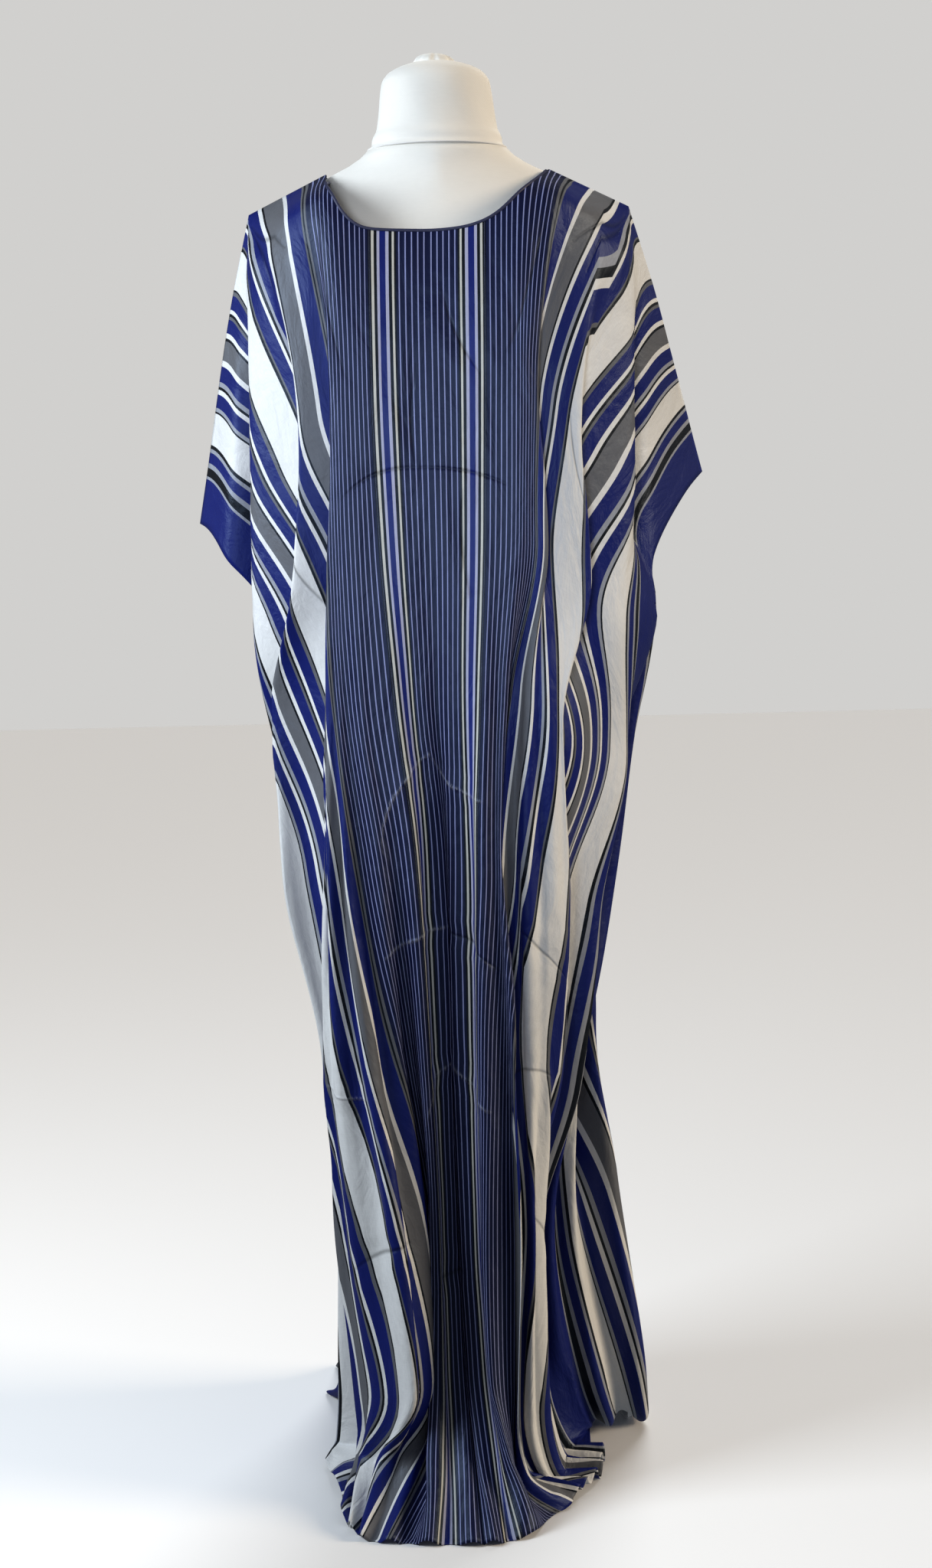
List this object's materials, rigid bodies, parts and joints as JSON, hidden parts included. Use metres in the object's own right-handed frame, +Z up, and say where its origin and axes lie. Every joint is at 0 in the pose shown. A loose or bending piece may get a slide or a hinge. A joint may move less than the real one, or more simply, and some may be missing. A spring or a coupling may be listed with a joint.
{
  "type": "baati dress on its dress form",
  "caption": "Wide striped baati dress, cut in one with its sleeves, hanging in folds to the floor on a limbless covered dress form.",
  "frame": {"origin": "centre of the dress form's base underside, on the floor", "axes": "+Z up, the dress faces -Y, +X toward the viewer's right when facing the dress"},
  "size_m": [0.575, 0.5228, 1.5623],
  "materials": {
    "striped_cloth": "thin satin-like woven stripes",
    "neck_edge": "dark bound edge",
    "form_cover": "matt white cover",
    "form_cap": "matt white cover",
    "stand_metal": "plain",
    "base_board": "plain stained"
  },
  "bodies": {
    "root": {"dress_front": "striped_cloth", "dress_back": "striped_cloth", "neck_binding": "neck_edge", "form_torso": "form_cover", "form_neck": "form_cover", "form_cap": "form_cap", "form_pole": "stand_metal", "form_base": "base_board"}
  },
  "joints": []
}
